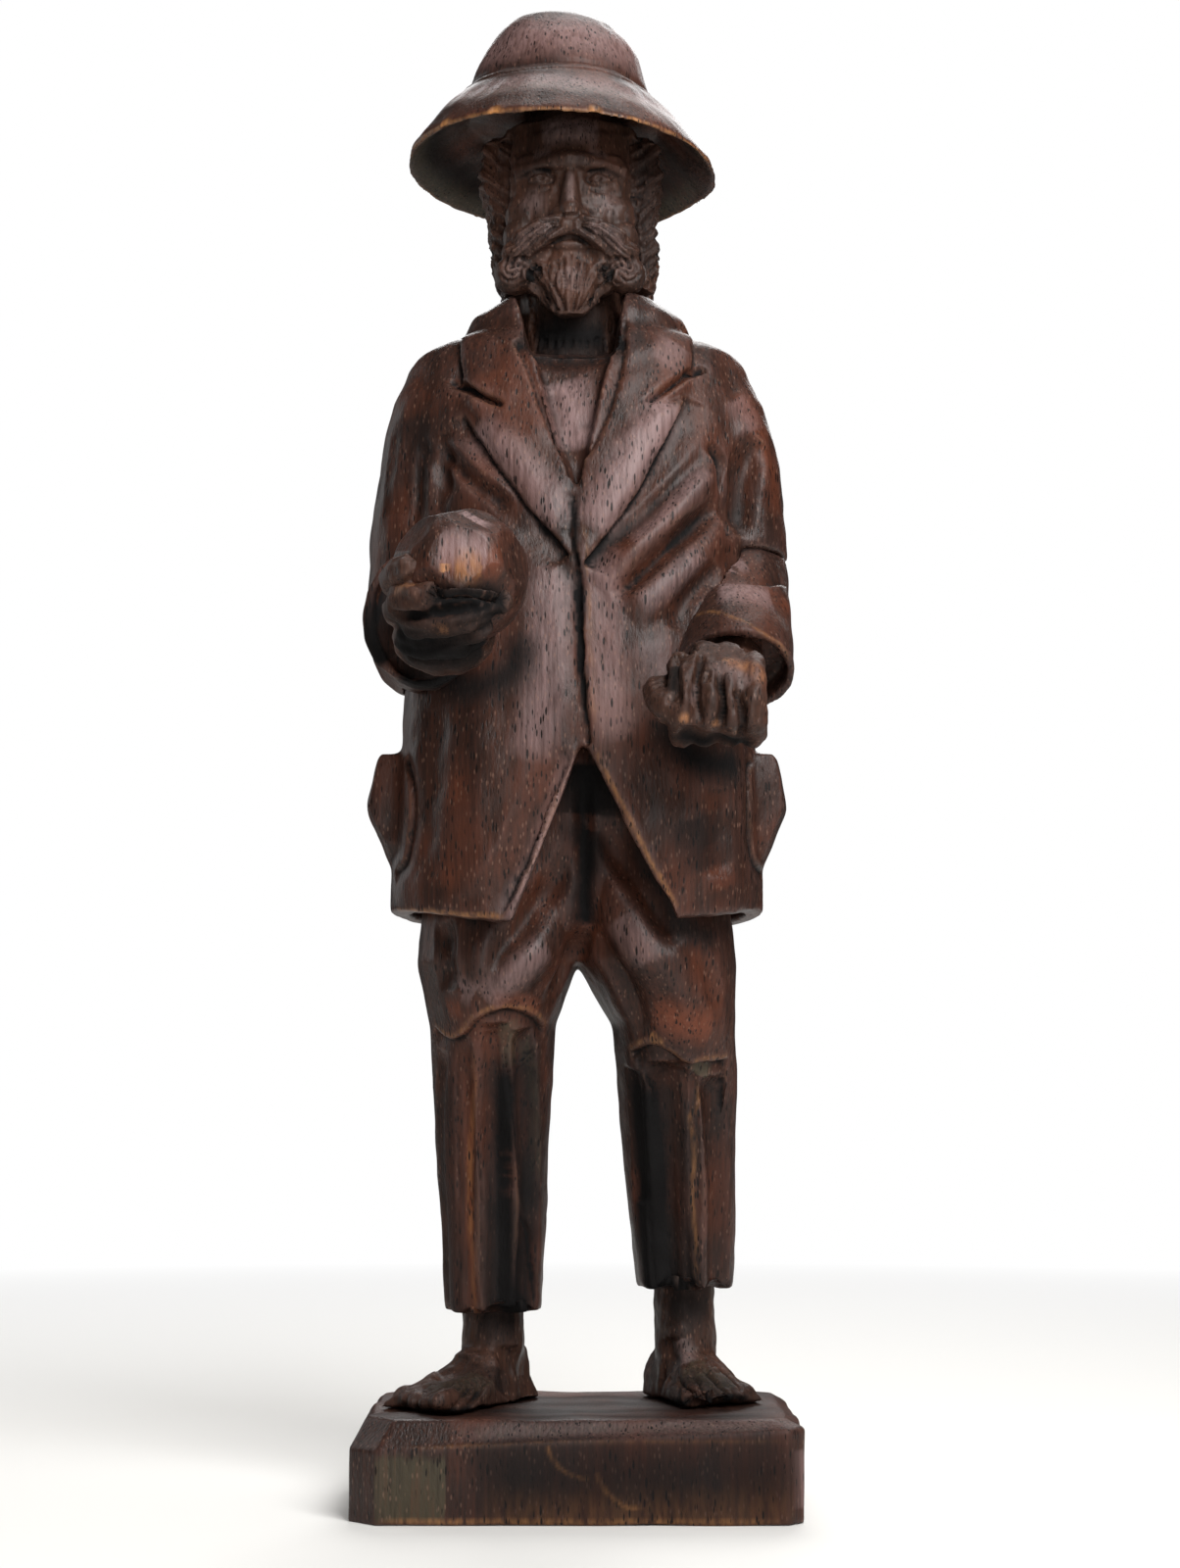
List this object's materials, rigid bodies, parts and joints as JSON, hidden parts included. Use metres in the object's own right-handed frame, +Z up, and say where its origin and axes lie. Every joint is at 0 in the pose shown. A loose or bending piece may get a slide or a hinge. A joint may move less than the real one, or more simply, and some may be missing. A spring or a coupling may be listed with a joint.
{
  "type": "carved wooden figure",
  "caption": "Standing carved hardwood figure of a bearded man in a brimmed hat, coat and trousers, holding a ball, barefoot on a bevelled plinth.",
  "frame": {"origin": "middle of the plinth's underside", "axes": "+Z up, the figure faces -Y, its left arm is on +X"},
  "size_m": [0.1722, 0.2033, 0.6064],
  "materials": {
    "stained_wood": "dark stained open-grain hardwood, satin wax",
    "dark_wood": "dark stained open-grain hardwood, dull",
    "peg_wood": "unstained turned dowel, hidden in the joints"
  },
  "bodies": {
    "root": {"plinth": "stained_wood", "trousers": "stained_wood", "coat": "stained_wood", "right_sleeve": "stained_wood", "left_sleeve": "stained_wood", "ball": "stained_wood", "hat": "stained_wood", "right_foot": "dark_wood", "left_foot": "dark_wood", "right_hand": "dark_wood", "left_hand": "dark_wood", "head": "dark_wood", "right_leg_dowel": "peg_wood", "left_leg_dowel": "peg_wood", "right_waist_peg": "peg_wood", "left_waist_peg": "peg_wood", "right_elbow_peg": "peg_wood", "left_elbow_peg": "peg_wood", "right_wrist_peg": "peg_wood", "left_wrist_peg": "peg_wood", "ball_peg": "peg_wood", "neck_peg": "peg_wood", "hat_peg": "peg_wood"}
  },
  "joints": []
}
